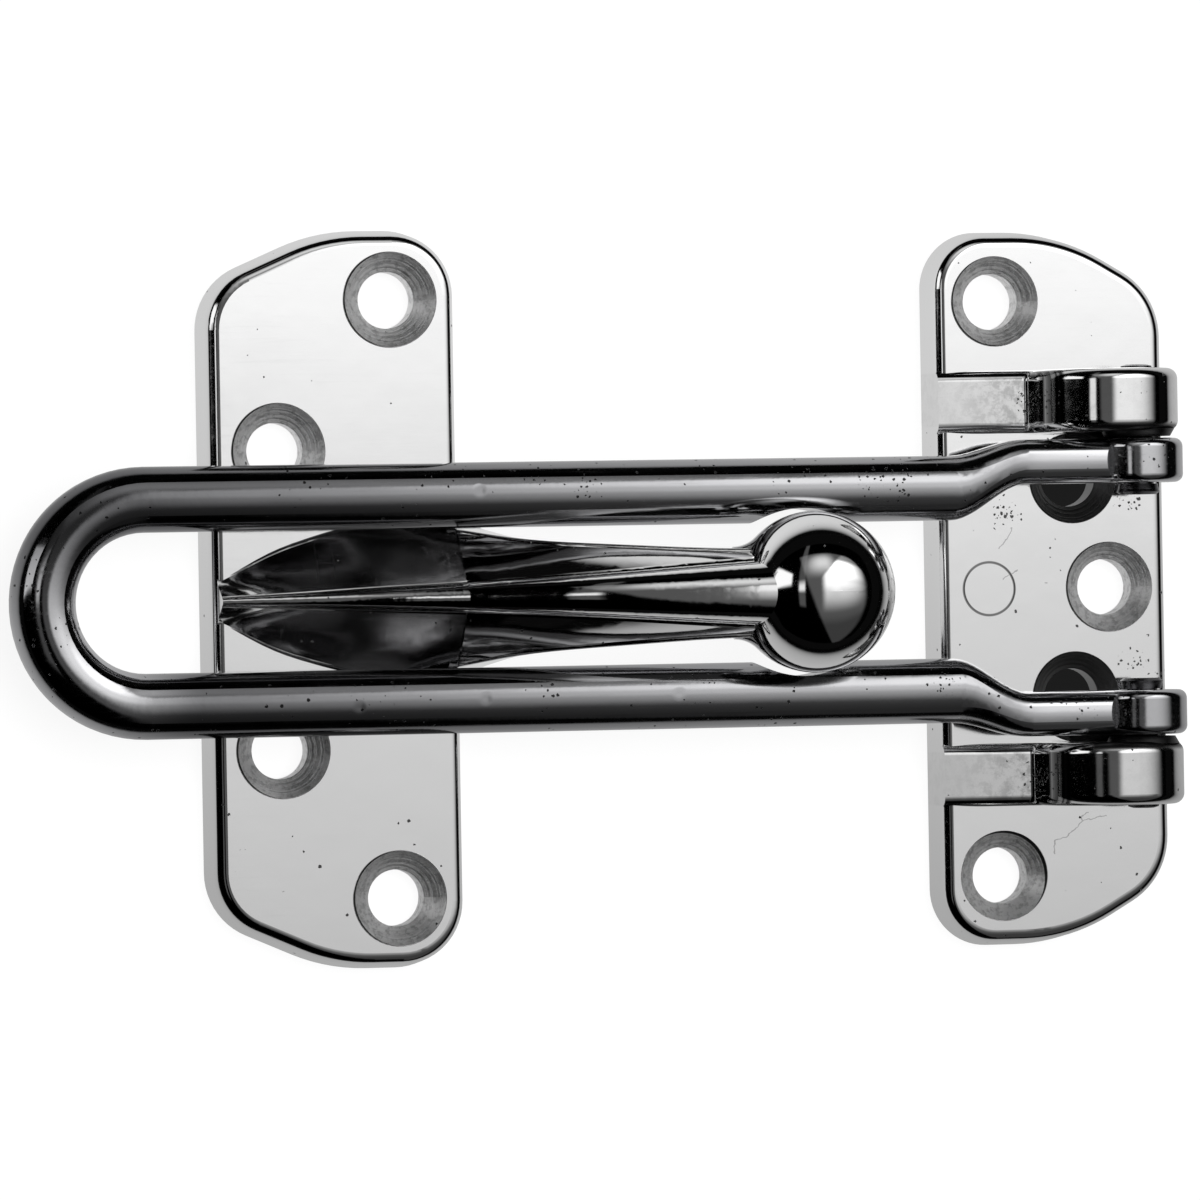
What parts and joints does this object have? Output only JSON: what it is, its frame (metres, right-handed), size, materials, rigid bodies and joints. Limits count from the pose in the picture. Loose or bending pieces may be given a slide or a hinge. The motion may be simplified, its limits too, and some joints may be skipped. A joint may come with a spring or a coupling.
{
  "type": "door restrictor",
  "caption": "Swing-bar door restrictor: a looped bar hinged on a screw-on plate slides along a ball-ended arm cast on a second plate, so the door opens only a little.",
  "frame": {"origin": "middle of the bounding box in X and Y, on the plane of the two plates' backs", "axes": "+Z away from the mounting surface, +X along the swing bar from its closed end to its hinge, +Y along the plates' height"},
  "size_m": [0.1123, 0.0686, 0.0215],
  "materials": {
    "chromed_zinc": "polished chrome plating on a zinc die-casting",
    "plated_steel": "bright plating on a turned steel pin"
  },
  "bodies": {
    "plates": {"stud_plate": "chromed_zinc", "hinge_plate": "chromed_zinc", "upper_pivot_pin": "plated_steel", "lower_pivot_pin": "plated_steel"},
    "bar": {"swing_bar": "chromed_zinc"}
  },
  "joints": [
    {"name": "bar_swing", "type": "hinge", "parent": "plates", "child": "bar", "pos_m": [0.05175, 0, 0.0086], "axis": [0, 1, 0], "range_deg": [0, 180]}
  ]
}
